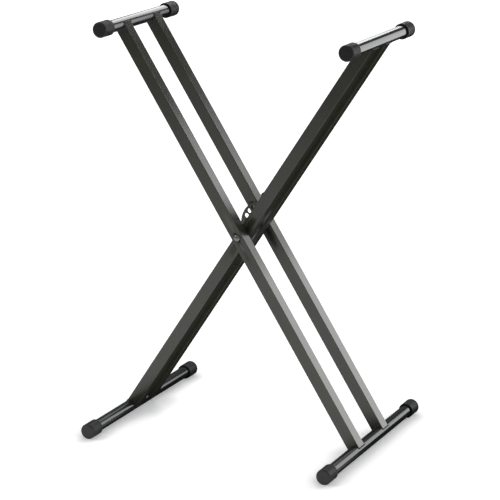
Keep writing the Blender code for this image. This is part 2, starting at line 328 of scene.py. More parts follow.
def satin_powder_coat():
    """Baked satin black powder.

    It has a fine orange peel, is thinner on the tube's corners and is dulled round the pivot.
    """
    made, place = new_finish("satin_powder_coat")
    peel = place.noise(scale=1150, detail=2.5, roughness=0.55)
    fleck = place.noise(scale=4200, detail=1.0)
    patch = place.noise(scale=16, detail=4.0, roughness=0.6)
    mottle = place.noise(scale=330, detail=3.0, roughness=0.65)
    corner = place.add("ShaderNodeAttribute", {"attribute_name": "corner"}, out="Fac")
    worn = (corner * patch.clipped(0.42, 0.62)).clipped(0.3, 0.9)
    from_pivot = place.mapped(scale=(1, 0, 1), offset=(0, 0, -PIVOT.z))
    handled = 1.0 - from_pivot.length().clipped(0.04, 0.13)
    base = (patch * 0.3 + mottle * 0.5 + fleck * 0.2).clipped(0.3, 0.7).blend(
        shade(0.021, 0.0212, 0.0145), shade(0.040, 0.0402, 0.0290))
    rough = 0.11 + patch * 0.06 + fleck * 0.04 - worn * 0.03 + handled * 0.20
    coat_surface(place, {
        "Base Color": (worn * 0.35).blend(base, shade(0.085, 0.084, 0.077)),
        "Specular IOR Level": 0.7,
        "Roughness": rough,
        "Normal": (peel * 0.7 + fleck * 0.3).bump(strength=0.35, distance=0.00005)})
    return made


def gloss_enamel():
    """Smooth black enamel on the round bars, with faint drawing marks along them."""
    made, place = new_finish("gloss_enamel")
    drawn = place.mapped(scale=(1.0, 0.03, 1.0)).noise(scale=900, detail=2.0)
    haze = place.noise(scale=38, detail=3.0, roughness=0.6)
    dust = place.noise(scale=2600, detail=1.0).clipped(0.70, 0.80)
    coat_surface(place, {
        "Base Color": (haze * 0.6 + dust * 0.3).blend(
            shade(0.012, 0.0135, 0.0135), shade(0.030, 0.0325, 0.0325)),
        "Roughness": 0.10 + haze * 0.10 + dust * 0.1,
        "Normal": (drawn * 0.8 + haze * 0.2).bump(strength=0.08, distance=0.00004)})
    return made


def moulded_rubber():
    """Matt black rubber with dust and a painted highlight on its pips; its smoother closed end is
    painted darker as shade.
    """
    made, place = new_finish("moulded_rubber")
    end = place.add("ShaderNodeAttribute", {"attribute_name": "closed_end"}, out="Fac")
    pip = place.add("ShaderNodeAttribute", {"attribute_name": "pip"}, out="Fac")
    pits = place.noise(scale=1900, detail=2.0, roughness=0.6)
    bloom = place.noise(scale=70, detail=4.0, roughness=0.65)
    plain = bloom.clipped(0.35, 0.75).blend(
        shade(0.007, 0.0073, 0.0073), shade(0.018, 0.0186, 0.0182))
    # Pits and pips painted lighter: dust in the pits, and on the pips partly dust, partly a
    # painted highlight
    dust_and_pip_highlight = (pits.clipped(0.5, 0.8) * 0.3 + pip * 0.5).blend(
        plain, shade(0.045, 0.047, 0.0465))
    # Painted shade: the closed end's colour is darker to stand in for the shade on that face; its
    # lower roughness is the real smoother moulding
    smooth = bloom.blend(shade(0.003, 0.0031, 0.0031), shade(0.008, 0.0083, 0.0082))
    coat_surface(place, {
        "Base Color": end.blend(dust_and_pip_highlight, smooth),
        "Roughness": 0.42 + pits * 0.16 - end * 0.2,
        "Normal": pits.bump(strength=0.3, distance=0.00012)})
    return made


def blackened_steel():
    """Dark burnished bolt heads with a light swirl from tumbling."""
    made, place = new_finish("blackened_steel")
    swirl = place.noise(scale=420, detail=3.0, roughness=0.6)
    coat_surface(place, {
        "Base Color": swirl.blend(shade(0.12, 0.122, 0.124), shade(0.26, 0.26, 0.255)),
        "Roughness": 0.05 + swirl * 0.08,
        "Metallic": 1.0,
        "Normal": swirl.bump(strength=0.06, distance=0.00005)})
    return made


def zinc_plate():
    """Bright zinc on the plunger's housing and spring, slightly cloudy, with a straw tint."""
    made, place = new_finish("zinc_plate")
    cloud = place.noise(scale=240, detail=3.0, roughness=0.6)
    scratch = place.mapped(scale=(1.0, 0.08, 1.0)).noise(scale=2600, detail=1.0)
    coat_surface(place, {
        "Base Color": cloud.blend(shade(0.50, 0.51, 0.50), shade(0.68, 0.67, 0.62)),
        "Roughness": 0.24 + cloud * 0.14 + scratch * 0.06,
        "Metallic": 1.0,
        "Normal": scratch.bump(strength=0.10, distance=0.00004)})
    return made


def worn_zinc():
    """Zinc gone dull and greasy on the locking pin, the nuts and the washers."""
    made, place = new_finish("worn_zinc")
    smear = place.noise(scale=300, detail=3.0, roughness=0.6)
    rub = place.mapped(scale=(1.0, 0.05, 1.0)).noise(scale=2200, detail=1.0)
    coat_surface(place, {
        "Base Color": smear.blend(shade(0.13, 0.13, 0.125), shade(0.26, 0.26, 0.25)),
        "Roughness": 0.36 + smear * 0.16,
        "Metallic": 1.0,
        "Normal": rub.bump(strength=0.15, distance=0.00004)})
    return made


def black_nylon():
    """Moulded nylon of the knob, bushes and spacers."""
    made, place = new_finish("black_nylon")
    grain = place.noise(scale=1500, detail=2.0)
    scuff = place.noise(scale=55, detail=4.0, roughness=0.7).clipped(0.55, 0.8)
    coat_surface(place, {
        "Base Color": (scuff * 0.5).blend(shade(0.018, 0.018, 0.019), shade(0.045, 0.045, 0.046)),
        "Roughness": 0.46 + grain * 0.1 + scuff * 0.1,
        "Normal": grain.bump(strength=0.2, distance=0.00008)})
    return made


def painted_weld():
    """Weld beads under the powder: a duller, deeper black, rough with spatter."""
    made, place = new_finish("painted_weld")
    spatter = place.noise(scale=900, detail=3.0, roughness=0.6)
    coat_surface(place, {
        "Base Color": spatter.blend(shade(0.008, 0.008, 0.007), shade(0.022, 0.021, 0.019)),
        "Roughness": 0.48 + spatter * 0.2,
        "Normal": spatter.bump(strength=0.3, distance=0.0001)})
    return made


COAT = satin_powder_coat()
ENAMEL = gloss_enamel()
RUBBER = moulded_rubber()
BLACK_STEEL = blackened_steel()
ZINC = zinc_plate()
DULL_ZINC = worn_zinc()
NYLON = black_nylon()
WELD = painted_weld()


# Meshes

def piece(name, mesh, body, finish, stands_for=(), place=Matrix.Identity(4)):
    """A finished piece, its mesh moved from the upright drawing to where its frame leans."""
    lean = Matrix.Rotation(LEAN[body], 4, "Y")
    mesh.transform(Matrix.Translation(PIVOT) @ lean @ place)
    mesh.materials.clear()
    mesh.materials.append(finish)
    made = linked(name, mesh)
    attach(made, body)
    if stands_for:
        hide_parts(*stands_for)
    return made


def smooth_mesh(name, bm, crease=35):
    """A mesh from a bmesh, faces outwards, smooth except over edges sharper than the crease."""
    bmesh.ops.recalc_face_normals(bm, faces=bm.faces)
    if bm.calc_volume(signed=True) < 0:
        bmesh.ops.reverse_faces(bm, faces=bm.faces)
    mesh = mesh_from(name, bm)
    mesh.shade_smooth()
    mesh.set_sharp_from_angle(angle=math.radians(crease))
    return mesh


def settled(name, data, modifiers):
    """The mesh that a mesh or curve gives after a list of modifiers, each a type and settings."""
    holder = linked(name, data)
    for kind, settings in modifiers:
        added = holder.modifiers.new(kind, kind)
        for key, value in settings.items():
            if key == "inputs":
                sockets = added.node_group.interface.items_tree
                for socket, amount in value.items():
                    added[sockets[socket].identifier] = amount
            else:
                setattr(added, key, value)
    graph = bpy.context.evaluated_depsgraph_get()
    result = bpy.data.meshes.new_from_object(holder.evaluated_get(graph))
    bpy.data.objects.remove(holder)
    return result


def through_tree(name, mesh, tree, inputs):
    """A mesh after a geometry node tree."""
    return settled(name, mesh, [("NODES", {"node_group": tree, "inputs": inputs})])


def braced(profile, ring, margin=0.0006):
    """The profile with a point just inside each end of its long straights, to shade them flat."""
    result = []
    for i, point in enumerate(profile):
        result.append(point)
        if i + 1 < len(profile) or ring:
            here, there = Vector(point), Vector(profile[(i + 1) % len(profile)])
            if (there - here).length > 3 * margin:
                step = (there - here).normalized() * margin
                result += [tuple(here + step), tuple(there - step)]
    return result


def turned(profile, segments=ROUND_SEGMENTS, ring=False, lobes=None):
    """A bmesh turned about local Y from (radius, y) points.

    A ring's profile is closed, and lobes gives each angle's share of the radius. Points and
    faces come in a fixed order, so every run gives the same mesh.
    """
    bm = bmesh.new()
    angles = [math.tau * step / segments for step in range(segments)]
    shares = [lobes(angle) if lobes else 1.0 for angle in angles]
    rounds = []
    for radius, y in braced(profile, ring):
        if radius < ON_AXIS:
            rounds.append([bm.verts.new((0, y, 0))] * segments)
        else:
            rounds.append([bm.verts.new((radius * share * math.cos(angle), y,
                                         -radius * share * math.sin(angle)))
                           for angle, share in zip(angles, shares)])
    for near, far in zip(rounds, rounds[1:] + rounds[:1] if ring else rounds[1:]):
        for i in range(segments):
            j = (i + 1) % segments
            corners = list(dict.fromkeys((near[i], near[j], far[j], far[i])))
            if len(corners) > 2:
                bm.faces.new(corners)
    return bm


def rounded(profile, radius, steps=4):
    """Rounds every corner of a (radius, y) profile that has room; points on the axis stay."""
    room = 0.45                 # share of a straight that one corner may take
    least = 1e-5                # a corner with less room than this stays
    result = []
    for i, corner in enumerate(profile):
        here = Vector(corner)
        before = Vector(profile[i - 1]) - here
        after = Vector(profile[(i + 1) % len(profile)]) - here
        reach = min(radius, before.length * room, after.length * room)
        if here.x < ON_AXIS or reach < least:
            result.append(corner)
            continue
        start = here + before.normalized() * reach
        stop = here + after.normalized() * reach
        for step in range(steps + 1):
            t = step / steps
            result.append(tuple(start * (1 - t) ** 2 + here * 2 * t * (1 - t) + stop * t ** 2))
    return result


def hollow(outer, inner, start, end):
    """Profile of a plain pipe, from its diameters and its two places along Y."""
    return [(outer / 2, start), (outer / 2, end), (inner / 2, end), (inner / 2, start)]


def quarter_turn(steps):
    """Even angles from 0 to a right angle."""
    return [step * math.pi / 2 / steps for step in range(steps + 1)]


def cutter(diameter, start, end, x, z):
    """A round cutter along Y."""
    radius = diameter / 2
    bm = turned([(0, start), (radius, start), (radius, end), (0, end)], HOLE_SEGMENTS)
    made = linked("cutter", smooth_mesh("cutter", bm))
    made.location = (x, 0, z)
    made.rotation_euler = (0, CUTTER_TURN, 0)
    return made


def drilled(name, mesh, holes):
    """A mesh with round holes along Y, each given as diameter, start, end, x and z."""
    tools = [cutter(*hole) for hole in holes]
    result = settled(name, mesh, [
        ("BOOLEAN", {"operation": "DIFFERENCE", "solver": "EXACT", "object": tool})
        for tool in tools])
    for tool in tools:
        bpy.data.objects.remove(tool)
    leftover = 2e-6             # shorter than this, what the cuts leave is no edge
    bm = bmesh.new()
    bm.from_mesh(result)
    bmesh.ops.remove_doubles(bm, verts=bm.verts, dist=leftover)
    bmesh.ops.triangulate(bm, faces=[face for face in bm.faces if len(face.verts) > 4])
    bmesh.ops.dissolve_degenerate(bm, edges=bm.edges, dist=leftover)
    bm.to_mesh(result)
    bm.free()
    return result


def square_loop(side, corner, arc_steps=5, across=10, margin=0.0009):
    """Points round a square with rounded corners, as (x, y, share of corner).

    Each flat has points across it, the first and last of them a margin from its ends.
    """
    points = []
    flat = side / 2 - corner
    stations = [1 - margin / flat]
    stations += [1 - 2 * i / across for i in range(1, across)]
    stations += [margin / flat - 1]
    for quarter in range(4):
        turn = quarter * math.pi / 2
        side_points = [(flat + corner * math.cos(a), flat + corner * math.sin(a), 1.0)
                       for a in quarter_turn(arc_steps)]
        side_points += [(station * flat, side / 2, 0.0) for station in stations]
        for x, y, share in side_points:
            points.append((x * math.cos(turn) - y * math.sin(turn),
                           x * math.sin(turn) + y * math.cos(turn), share))
    return points


def saddle(x, radius):
    """How far short of the bar's axis a leg ends at x, where it is cut to the bar's roundness."""
    return math.sqrt(max(radius ** 2 - x ** 2, 0.0))


def leg_mesh(name):
    """A hollow square tube along local Z, its ends cut to sit on the round bars."""
    bm = bmesh.new()
    share = bm.verts.layers.float.new("corner")
    cut = BAR_DIAMETER / 2 + FIT
    inner_corner = max(TUBE_CORNER - TUBE_WALL, TUBE_WALL / 3)
    outside = square_loop(TUBE_SIDE, TUBE_CORNER)
    inside = square_loop(TUBE_SIDE - 2 * TUBE_WALL, inner_corner)
    rings = []
    for loop, stations in ((outside, LEG_STATIONS), (inside, LEG_STATIONS[::-1])):
        for station in stations:
            ring = []
            for x, y, corner in loop:
                end = math.copysign(LEG_REACH - saddle(x, cut), station)
                vert = bm.verts.new((x, y, end if abs(station) == 1 else station * LEG_REACH))
                vert[share] = corner
                ring.append(vert)
            rings.append(ring)
    count = len(outside)
    for ring, following in zip(rings, rings[1:] + rings[:1]):
        for i in range(count):
            bm.faces.new((ring[i], ring[(i + 1) % count],
                          following[(i + 1) % count], following[i]))
    return smooth_mesh(name, bm)


# Node trees for what repeats or follows a path

def new_tree(name, inputs):
    """A geometry node tree with named inputs, and a wire for each input, geometry first."""
    tree = bpy.data.node_groups.new(name, "GeometryNodeTree")
    tree.interface.new_socket(name="Geometry", in_out="OUTPUT", socket_type="NodeSocketGeometry")
    for label, kind in (("Geometry", "Geometry"),) + inputs:
        tree.interface.new_socket(name=label, in_out="INPUT", socket_type=f"NodeSocket{kind}")
    entry = tree.nodes.new("NodeGroupInput")
    return tree, {socket.name: Wire(tree, socket) for socket in entry.outputs if socket.name}


def end_tree(shape, finish):
    """Closes a tree: real geometry, smooth, with its finish."""
    real = shape.add("GeometryNodeRealizeInstances", inputs={"Geometry": shape})
    smooth = real.add("GeometryNodeSetShadeSmooth", inputs={"Geometry": real})
    painted = smooth.add("GeometryNodeSetMaterial", inputs={
        "Geometry": smooth, "Material": finish})
    painted.add("NodeGroupOutput", inputs={"Geometry": painted})


def weld_tree():
    """A bead that follows a path, swelling and thinning once for each ripple of the weld."""
    tree, given = new_tree("weld_bead", (
        ("Bead Radius", "Float"), ("Ripple Pitch", "Float"), ("Ripple Depth", "Float"),
        ("Seed", "Float"), ("Finish", "Material")))
    path = given["Geometry"].add("GeometryNodeMeshToCurve", inputs={"Mesh": given["Geometry"]})
    even = path.add("GeometryNodeResampleCurve", {"mode": "LENGTH"},
                    {"Curve": path, "Length": given["Ripple Pitch"] / BEAD_STEPS})
    along = even.add("GeometryNodeSplineParameter", out="Length")
    ripple = (along / given["Ripple Pitch"] % 1.0) - 0.5
    place = even.add("GeometryNodeInputPosition")
    drift = place.add("ShaderNodeTexNoise", {"noise_dimensions": "4D"}, {
        "Vector": place, "W": given["Seed"], "Scale": 260.0, "Detail": 1.0})
    full = drift.add("GeometryNodeInputNamedAttribute", {"data_type": "FLOAT"},
                     {"Name": "fullness"})
    crest = 1.0 - ripple * ripple * 8.0         # 1 on a ripple's crest, -1 between two ripples
    swell = full * (1.0 + given["Ripple Depth"] * crest + (drift - 0.5) * BEAD_DRIFT)
    sized = even.add("GeometryNodeSetCurveRadius", inputs={"Curve": even, "Radius": swell})
    outline = even.add("GeometryNodeCurvePrimitiveCircle", inputs={
        "Resolution": BEAD_AROUND, "Radius": given["Bead Radius"]})
    bead = sized.add("GeometryNodeCurveToMesh", inputs={
        "Curve": sized, "Profile Curve": outline, "Fill Caps": True})
    end_tree(bead, given["Finish"])
    return tree


def grip_tree():
    """Rows of low pips round a cap, each row half a step on from the last.

    A pip is a four-sided pyramid, cut off at a third of its width.
    """
    tree, given = new_tree("cap_grip", (
        ("Rows", "Int"), ("Around", "Int"), ("Radius", "Float"), ("Start", "Float"),
        ("Row Pitch", "Float"), ("Pip Width", "Float"), ("Pip Height", "Float"),
        ("Finish", "Material")))
    rows, around = given["Rows"], given["Around"]
    dots = rows.add("GeometryNodePoints", inputs={"Count": rows * around})
    number = dots.add("GeometryNodeInputIndex")
    row = number.math("FLOOR", (number + 0.5) / around)
    turn = ((number % around) + (row % 2.0) * 0.5) / around * math.tau
    outward = turn.add("ShaderNodeCombineXYZ", inputs={
        "X": turn.math("COSINE", turn), "Z": turn.math("SINE", turn)})
    seat = outward.add("ShaderNodeVectorMath", {"operation": "SCALE"}, {
        "Vector": outward, "Scale": given["Radius"]})
    row_place = outward.add("ShaderNodeCombineXYZ", inputs={
        "Y": given["Start"] + (row + 0.5) * given["Row Pitch"]})
    place = seat.add("ShaderNodeVectorMath", {"operation": "ADD"}, {0: seat, 1: row_place})
    spread = dots.add("GeometryNodeSetPosition", inputs={"Geometry": dots, "Position": place})
    facing = spread.add("FunctionNodeAlignRotationToVector", {"axis": "Z"}, {"Vector": outward})
    pip = spread.add("GeometryNodeMeshCone", {"fill_type": "NGON"}, {
        "Vertices": 4, "Radius Bottom": given["Pip Width"] / 2,
        "Radius Top": given["Pip Width"] / 6, "Depth": given["Pip Height"]})
    pips = spread.add("GeometryNodeInstanceOnPoints", inputs={
        "Points": spread, "Instance": pip, "Rotation": facing})
    real = pips.add("GeometryNodeRealizeInstances", inputs={"Geometry": pips})
    marked = real.add("GeometryNodeStoreNamedAttribute", {"data_type": "FLOAT"}, {
        "Geometry": real, "Name": "pip", "Value": 1.0})
    painted = marked.add("GeometryNodeSetMaterial", inputs={
        "Geometry": marked, "Material": given["Finish"]})
    both = painted.add("GeometryNodeJoinGeometry", inputs={
        "Geometry": [painted, given["Geometry"]]})
    both.add("NodeGroupOutput", inputs={"Geometry": both})
    return tree


def coil_tree():
    """A round wire wound to a coil that rises along Y, joined to what it is wound on."""
    tree, given = new_tree("coil", (
        ("Turns", "Float"), ("Coil Radius", "Float"), ("Length", "Float"),
        ("Wire Radius", "Float"), ("Points Round", "Int"), ("Start", "Float"),
        ("Finish", "Material")))
    spiral = given["Turns"].add("GeometryNodeCurveSpiral", inputs={
        "Resolution": COIL_SEGMENTS, "Rotations": given["Turns"], "Height": given["Length"],
        "Start Radius": given["Coil Radius"], "End Radius": given["Coil Radius"]})
    outline = spiral.add("GeometryNodeCurvePrimitiveCircle", inputs={
        "Resolution": given["Points Round"], "Radius": given["Wire Radius"]})
    wire = spiral.add("GeometryNodeCurveToMesh", inputs={
        "Curve": spiral, "Profile Curve": outline, "Fill Caps": True})
    start = wire.add("ShaderNodeCombineXYZ", inputs={"Y": given["Start"]})
    laid = wire.add("GeometryNodeTransform", inputs={
        "Geometry": wire, "Translation": start, "Rotation": (-math.pi / 2, 0, 0)})
    both = laid.add("GeometryNodeJoinGeometry", inputs={"Geometry": [laid, given["Geometry"]]})
    end_tree(both, given["Finish"])
    return tree


WELD_TREE = weld_tree()
GRIP_TREE = grip_tree()
COIL_TREE = coil_tree()


# The tube frames

def legs():
    """Four tubes, drilled for the pivot, and the rear ones for the pin as well."""
    for body, side in SIDES:
        for end in ("front", "rear"):
            node = f"{side}_leg_{end}"
            pivot_hole = (BOLT_DIAMETER if side == "outer" else BUSH_DIAMETER) + 2 * FIT
            holes = [(pivot_hole, -TUBE_SIDE, TUBE_SIDE, 0, 0)]
            if node == "outer_leg_rear":
                holes.append((PIN_DIAMETER + 2 * FIT, -TUBE_SIDE, TUBE_SIDE, 0, HOLE_RING))
            if node == "inner_leg_rear":
                x, z = ring_place(FOLDED_ANGLE)
                inside_wall = TUBE_SIDE / 2 - 2 * TUBE_WALL
                holes.append((HOLE_DIAMETER, inside_wall, TUBE_SIDE, x, z))
            mesh = drilled(node, leg_mesh(node), holes)
            piece(f"{node}_tube", mesh, body, COAT, [node],
                  Matrix.Translation((0, middle(node), 0)))


def bars():
    """Four round tubes across the ends of the legs."""
    for body, side in SIDES:
        for level, height, span in LEVELS:
            half = span / 2 - CAP_END - FIT
            profile = rounded(hollow(BAR_DIAMETER, BAR_DIAMETER - 2 * BAR_WALL, -half, half),
                              BAR_EDGE, 2)
            mesh = smooth_mesh("bar", turned(profile, BAR_SEGMENTS, ring=True))
            piece(f"{side}_{level}_bar_tube", mesh, body, ENAMEL,
                  [f"{side}_{level}_bar"], Matrix.Translation((0, 0, height)))


def cap_mesh():
    """A rubber cap with its closed end at y = 0 and its grip band between two plain rings."""
    radius = CAP_DIAMETER / 2
    bore = BAR_DIAMETER / 2 + FIT
    grip_end = CAP_LENGTH - GRIP_START
    corner = [(radius - CAP_ROUNDING * (1 - math.sin(a)), CAP_ROUNDING * (1 - math.cos(a)))
              for a in quarter_turn(6)]
    dimple = [(0, CAP_DIMPLE_DEPTH), (CAP_DIMPLE / 2 - CAP_DIMPLE_DEPTH, CAP_DIMPLE_DEPTH),
              (CAP_DIMPLE / 2, 0)]
    band = [(radius, GRIP_START - GRIP_DEPTH), (radius - GRIP_DEPTH, GRIP_START),
            (radius - GRIP_DEPTH, grip_end), (radius, grip_end + GRIP_DEPTH)]
    mouth = [(radius, CAP_LENGTH - CAP_LIP), (radius - CAP_LIP, CAP_LENGTH),
             (bore + CAP_LEAD_IN, CAP_LENGTH), (bore, CAP_LENGTH - CAP_LEAD_IN),
             (bore, CAP_END), (0, CAP_END)]
    body = smooth_mesh("cap", turned(dimple + corner + band + mouth))
    # Marks the closed end's face, which the rubber paints darker as shade
    closed_end = body.attributes.new("closed_end", "FLOAT", "POINT")
    face_radius = radius - CAP_ROUNDING / 2
    for vert, share in zip(body.vertices, closed_end.data):
        out = math.hypot(vert.co.x, vert.co.z)
        share.value = 1.0 if vert.co.y < CAP_FACE_DEPTH and out < face_radius else 0.0
    body.materials.append(RUBBER)
    step = math.tau * (radius - GRIP_DEPTH) / GRIP_AROUND
    return through_tree("cap", body, GRIP_TREE, {
        "Rows": GRIP_ROWS, "Around": GRIP_AROUND, "Radius": radius - GRIP_DEPTH,
        "Start": GRIP_START, "Row Pitch": (grip_end - GRIP_START) / GRIP_ROWS,
        "Pip Width": PIP_SHARE * step, "Pip Height": GRIP_DEPTH, "Finish": RUBBER})


def caps():
    """Eight copies of one cap, on both ends of every bar."""
    pattern = cap_mesh()
    for body, side in SIDES:
        for level, height, span in LEVELS:
            for end, turn in (("front", 0), ("rear", math.pi)):
                node = f"{side}_{level}_cap_{end}"
                place = Matrix.Translation((0, 0, height)) @ Matrix.Rotation(turn, 4, "Z")
                piece(f"{node}_rubber", pattern.copy(), body, RUBBER, [node],
                      place @ Matrix.Translation((0, -span / 2, 0)))


def path_mesh(name, paths):
    """Edges that join each list of points; a path that should close repeats its first point.

    A point is x, y, z and how full the bead is there.
    """
    bm = bmesh.new()
    fullness = bm.verts.layers.float.new("fullness")
    for points in paths:
        closed = points[0] == points[-1]
        verts = []
        for x, y, z, full in points[:-1] if closed else points:
            verts.append(bm.verts.new((x, y, z)))
            verts[-1][fullness] = full
        for pair in zip(verts, verts[1:] + verts[:1] if closed else verts[1:]):
            bm.edges.new(pair)
    return mesh_from(name, bm)


def leg_weld_path(y, level):
    """Round one leg's end, in the groove between the tube's outside and the bar."""
    points = []
    for x, depth, _ in square_loop(TUBE_SIDE + 2 * BEAD_OUT, TUBE_CORNER + BEAD_OUT):
        reach = min(abs(x), BAR_DIAMETER / 2 * BEAD_UNDER)
        height = LEG_REACH - saddle(reach, BAR_DIAMETER / 2) - BEAD_OUT
        across = min(1.0, (abs(depth) / (TUBE_SIDE / 2)) ** BEAD_TURN) * (1 - abs(x) / TUBE_SIDE)
        points.append((x, y + depth, level * height,
                       BEAD_SIDE + (BEAD_FRONT - BEAD_SIDE) * across))
    return points + points[:1]


def welds():
    """The beads of each frame: round both ends of both legs, and along the locking plate."""
    plate_front = ends("locking_plate")[0]
    in_grooves = ((-TUBE_SIDE / 2 + EDGE_BEAD_IN, plate_front - EDGE_BEAD_BEFORE),
                  (PLATE_OVERHANG + PLATE_BEAD_OUT, plate_front))
    for body, side in SIDES:
        paths = [leg_weld_path(middle(f"{side}_leg_{end}"), level)
                 for end in ("front", "rear") for level in (1, -1)]
        if side == "inner":
            paths += [[(x, y, low, 1.0), (x, y, high, 1.0)]
                      for low, high in PLATE_WELDS for x, y in in_grooves]
        mesh = through_tree("weld", path_mesh("weld", paths), WELD_TREE, {
            "Bead Radius": BEAD_RADIUS, "Ripple Pitch": BEAD_PITCH,
            "Ripple Depth": BEAD_RIPPLE, "Seed": BEAD_SEEDS[side], "Finish": WELD})
        piece(f"{side}_weld_beads", mesh, body, WELD)


# The locking plate

def ring_place(angle):
    """Where the hole for a leg-to-leg angle lies in the inner frame, as (x, z)."""
    return -HOLE_RING * math.sin(angle), HOLE_RING * math.cos(angle)


def arc(centre, radius, start, stop, steps):
    """Points along an arc, its ends included."""
    return [(centre[0] + radius * math.cos(start + (stop - start) * i / steps),
             centre[1] + radius * math.sin(start + (stop - start) * i / steps))
            for i in range(steps + 1)]


def circle(centre, diameter):
    """Points round a hole."""
    return arc(centre, diameter / 2, 0, math.tau, HOLE_SEGMENTS)[:-1]


def locking_plate():
    """The half-round plate: outline and holes as a flat curve, then thickness, broken edges."""
    front, back = ends("locking_plate")
    past_half = math.asin(PLATE_OVERHANG / PLATE_RADIUS)
    curve = bpy.data.curves.new("plate", "CURVE")
    curve.dimensions = "2D"
    curve.fill_mode = "BOTH"
    curve.extrude = (back - front) / 2 - PLATE_EDGE
    curve.bevel_depth = PLATE_EDGE
    curve.bevel_resolution = 2
    curve.offset = -PLATE_EDGE
    outlines = [arc((0, 0), PLATE_RADIUS, math.pi / 2 - past_half, 3 * math.pi / 2 + past_half,
                    ROUND_SEGMENTS)]
    outlines.append(circle((0, 0), BOLT_DIAMETER + 2 * FIT))
    outlines += [circle(ring_place(angle), HOLE_DIAMETER) for angle in LOCK_ANGLES]
    for outline in outlines:
        spline = curve.splines.new("POLY")
        spline.points.add(len(outline) - 1)
        spline.use_cyclic_u = True
        for point, (x, z) in zip(spline.points, outline):
            point.co = (x, z, 0, 1)
    flat = settled("plate", curve, [])
    bm = bmesh.new()
    bm.from_mesh(flat)
    bmesh.ops.remove_doubles(bm, verts=bm.verts, dist=1e-6)
    for vert in bm.verts:
        x, z, depth = vert.co
        vert.co = (x, (front + back) / 2 + depth, z)
    piece("half_round_plate", smooth_mesh("plate", bm, crease=30), "inner_frame", COAT,
          ["locking_plate"])


# The pivot

def dome(radius, height, seat, steps=14):
    """Profile of a low dome that rises from its seat towards the front."""
    return [(radius * math.sin(a), seat - height * math.cos(a)) for a in quarter_turn(steps)]


def bolt_mesh(head_top, leg_face, tip):
    """A domed bolt along Y, its head to the front, with a thread before its tip."""
    head = BOLT_HEAD_DIAMETER / 2
    rim = leg_face - BOLT_CHAMFER
    core = BOLT_DIAMETER / 2 - THREAD_DEPTH
    profile = dome(head, leg_face - head_top - BOLT_CHAMFER, rim)
    profile += [(head, leg_face), (core, leg_face), (core, tip - BOLT_CHAMFER),
                (core - BOLT_CHAMFER, tip), (0, tip)]
    bolt = through_tree("bolt", smooth_mesh("bolt", turned(profile)), COIL_TREE, {
        "Turns": (THREAD_LENGTH - THREAD_RUNOUT) / THREAD_PITCH, "Coil Radius": core,
        "Length": THREAD_LENGTH - THREAD_RUNOUT, "Wire Radius": THREAD_DEPTH,
        "Points Round": 6, "Start": tip - THREAD_LENGTH, "Finish": BLACK_STEEL})
    bolt.set_sharp_from_angle(angle=math.radians(40))
    return bolt


def nut_mesh(start, stop):
    """A hexagon nut with turned-down corners and a collar for its locking ring."""
    shoulder = stop - NUT_COLLAR_HEIGHT
    bore = BOLT_DIAMETER + 2 * FIT
    past = 0.002                # the drill starts before the nut and ends behind it
    sunk = 0.0005               # the collar starts inside the hexagon
    corner = NUT_WIDTH / 2 / math.cos(math.pi / HEXAGON)
    bm = turned([(0, start), (corner, start), (corner, shoulder), (0, shoulder)], HEXAGON)
    hexagon = settled("nut", smooth_mesh("nut", bm), [
        ("BEVEL", {"width": NUT_EDGE, "segments": 2})])
    hexagon = drilled("nut", hexagon, [(bore, start - past, stop + past, 0, 0)])
    collar = hollow(NUT_WIDTH - NUT_COLLAR_INSET, bore + NUT_COLLAR_PLAY, shoulder - sunk, stop)
    bm = turned(rounded(collar, NUT_COLLAR_EDGE), SMALL_SEGMENTS, ring=True)
    bm.from_mesh(hexagon)
    return smooth_mesh("nut", bm)


def pivot():
    """On each side a bolt, a washer and a nut; bushes and spacers keep their own solids.

    The rear set is the front one turned half round, so its places along Y change sign.
    """
    for end, sign in (("front", 1), ("rear", -1)):
        turn = Matrix.Rotation(0 if end == "front" else math.pi, 4, "Z")
        leg_face = -(abs(middle(f"outer_leg_{end}")) + TUBE_SIDE / 2) - FIT
        head_top, tip = sorted(sign * y for y in ends(f"pivot_bolt_{end}"))
        piece(f"bolt_{end}", bolt_mesh(head_top, leg_face, tip), "outer_frame", BLACK_STEEL,
              [f"pivot_bolt_{end}"], turn)
        start, stop = sorted(sign * y for y in ends(f"pivot_washer_{end}"))
        ring = rounded(hollow(WASHER_DIAMETER, BOLT_DIAMETER + 2 * FIT, start, stop), WASHER_EDGE)
        washer = smooth_mesh("washer", turned(ring, SMALL_SEGMENTS, ring=True))
        piece(f"washer_{end}", washer, "outer_frame", DULL_ZINC,
              [f"pivot_washer_{end}"], turn)
        start, stop = sorted(sign * y for y in ends(f"pivot_nut_{end}"))
        piece(f"nut_{end}", nut_mesh(start, stop), "outer_frame", DULL_ZINC,
              [f"pivot_nut_{end}"], turn)
    for node in ("pivot_spacer_front", "pivot_spacer_rear", "pivot_bush_front", "pivot_bush_rear"):
        frame["nodes"][node].data.materials.clear()
        frame["nodes"][node].data.materials.append(NYLON)


# The spring plunger

def knob_mesh(front, back):
    """A lobed pull knob along Y with a blind bore for the stem."""
    radius = KNOB_DIAMETER / 2
    bore = STEM_DIAMETER / 2 + FIT
    bore_end = front + (back - front) / 2
    outline = [(0, bore_end), (bore, bore_end), (bore, front)]
    outline += [(radius * share, front + depth) for share, depth in KNOB_NECK]
    outline += [(radius * share, back - depth) for share, depth in KNOB_FACE]

    def lobes(angle):
        return 1 - KNOB_LOBE_DEPTH * (1 + math.cos(KNOB_LOBES * angle)) / KNOB_DIAMETER

    knob = turned(rounded(outline, KNOB_ROUNDING, 6), KNOB_SEGMENTS, lobes=lobes)
    return smooth_mesh("knob", knob, crease=50)


